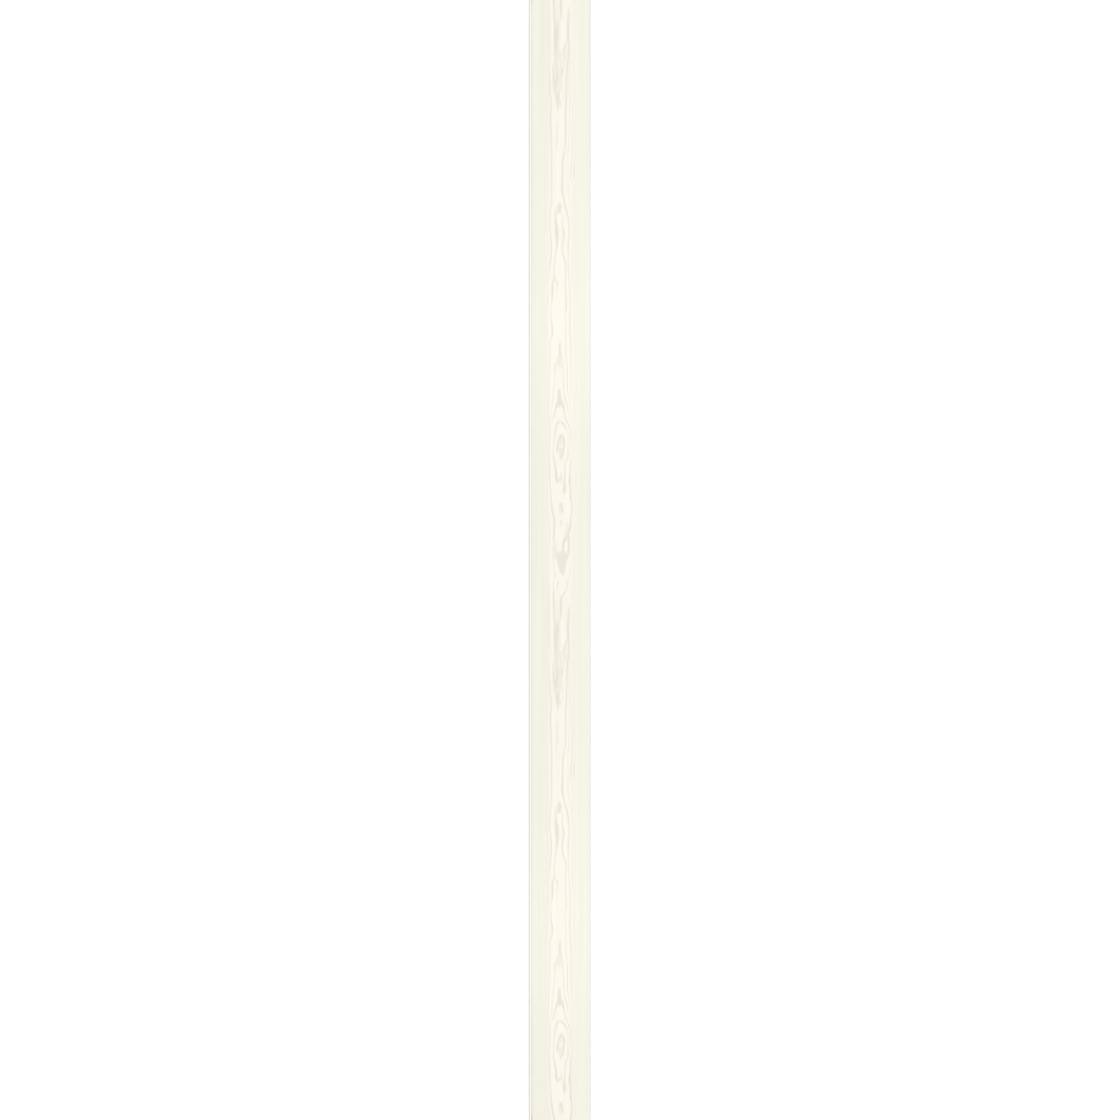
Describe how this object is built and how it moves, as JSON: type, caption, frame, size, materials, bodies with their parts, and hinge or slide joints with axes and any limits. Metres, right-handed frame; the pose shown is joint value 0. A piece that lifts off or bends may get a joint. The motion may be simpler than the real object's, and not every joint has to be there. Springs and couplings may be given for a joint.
{
  "type": "wall panel",
  "caption": "Long foil-wrapped wall panel with pale whitewashed-pine decor, bevelled long edges, a tongue on one edge and a groove on the other.",
  "frame": {"origin": "middle of the panel's footprint, on its back, which lies on the floor", "axes": "+Y along the length, +X across the width from the tongue to the groove, +Z out of the decor face"},
  "size_m": [0.15, 2.7, 0.01],
  "materials": {
    "foiled_board": "satin"
  },
  "bodies": {
    "root": {"wall_panel": "foiled_board"}
  },
  "joints": []
}
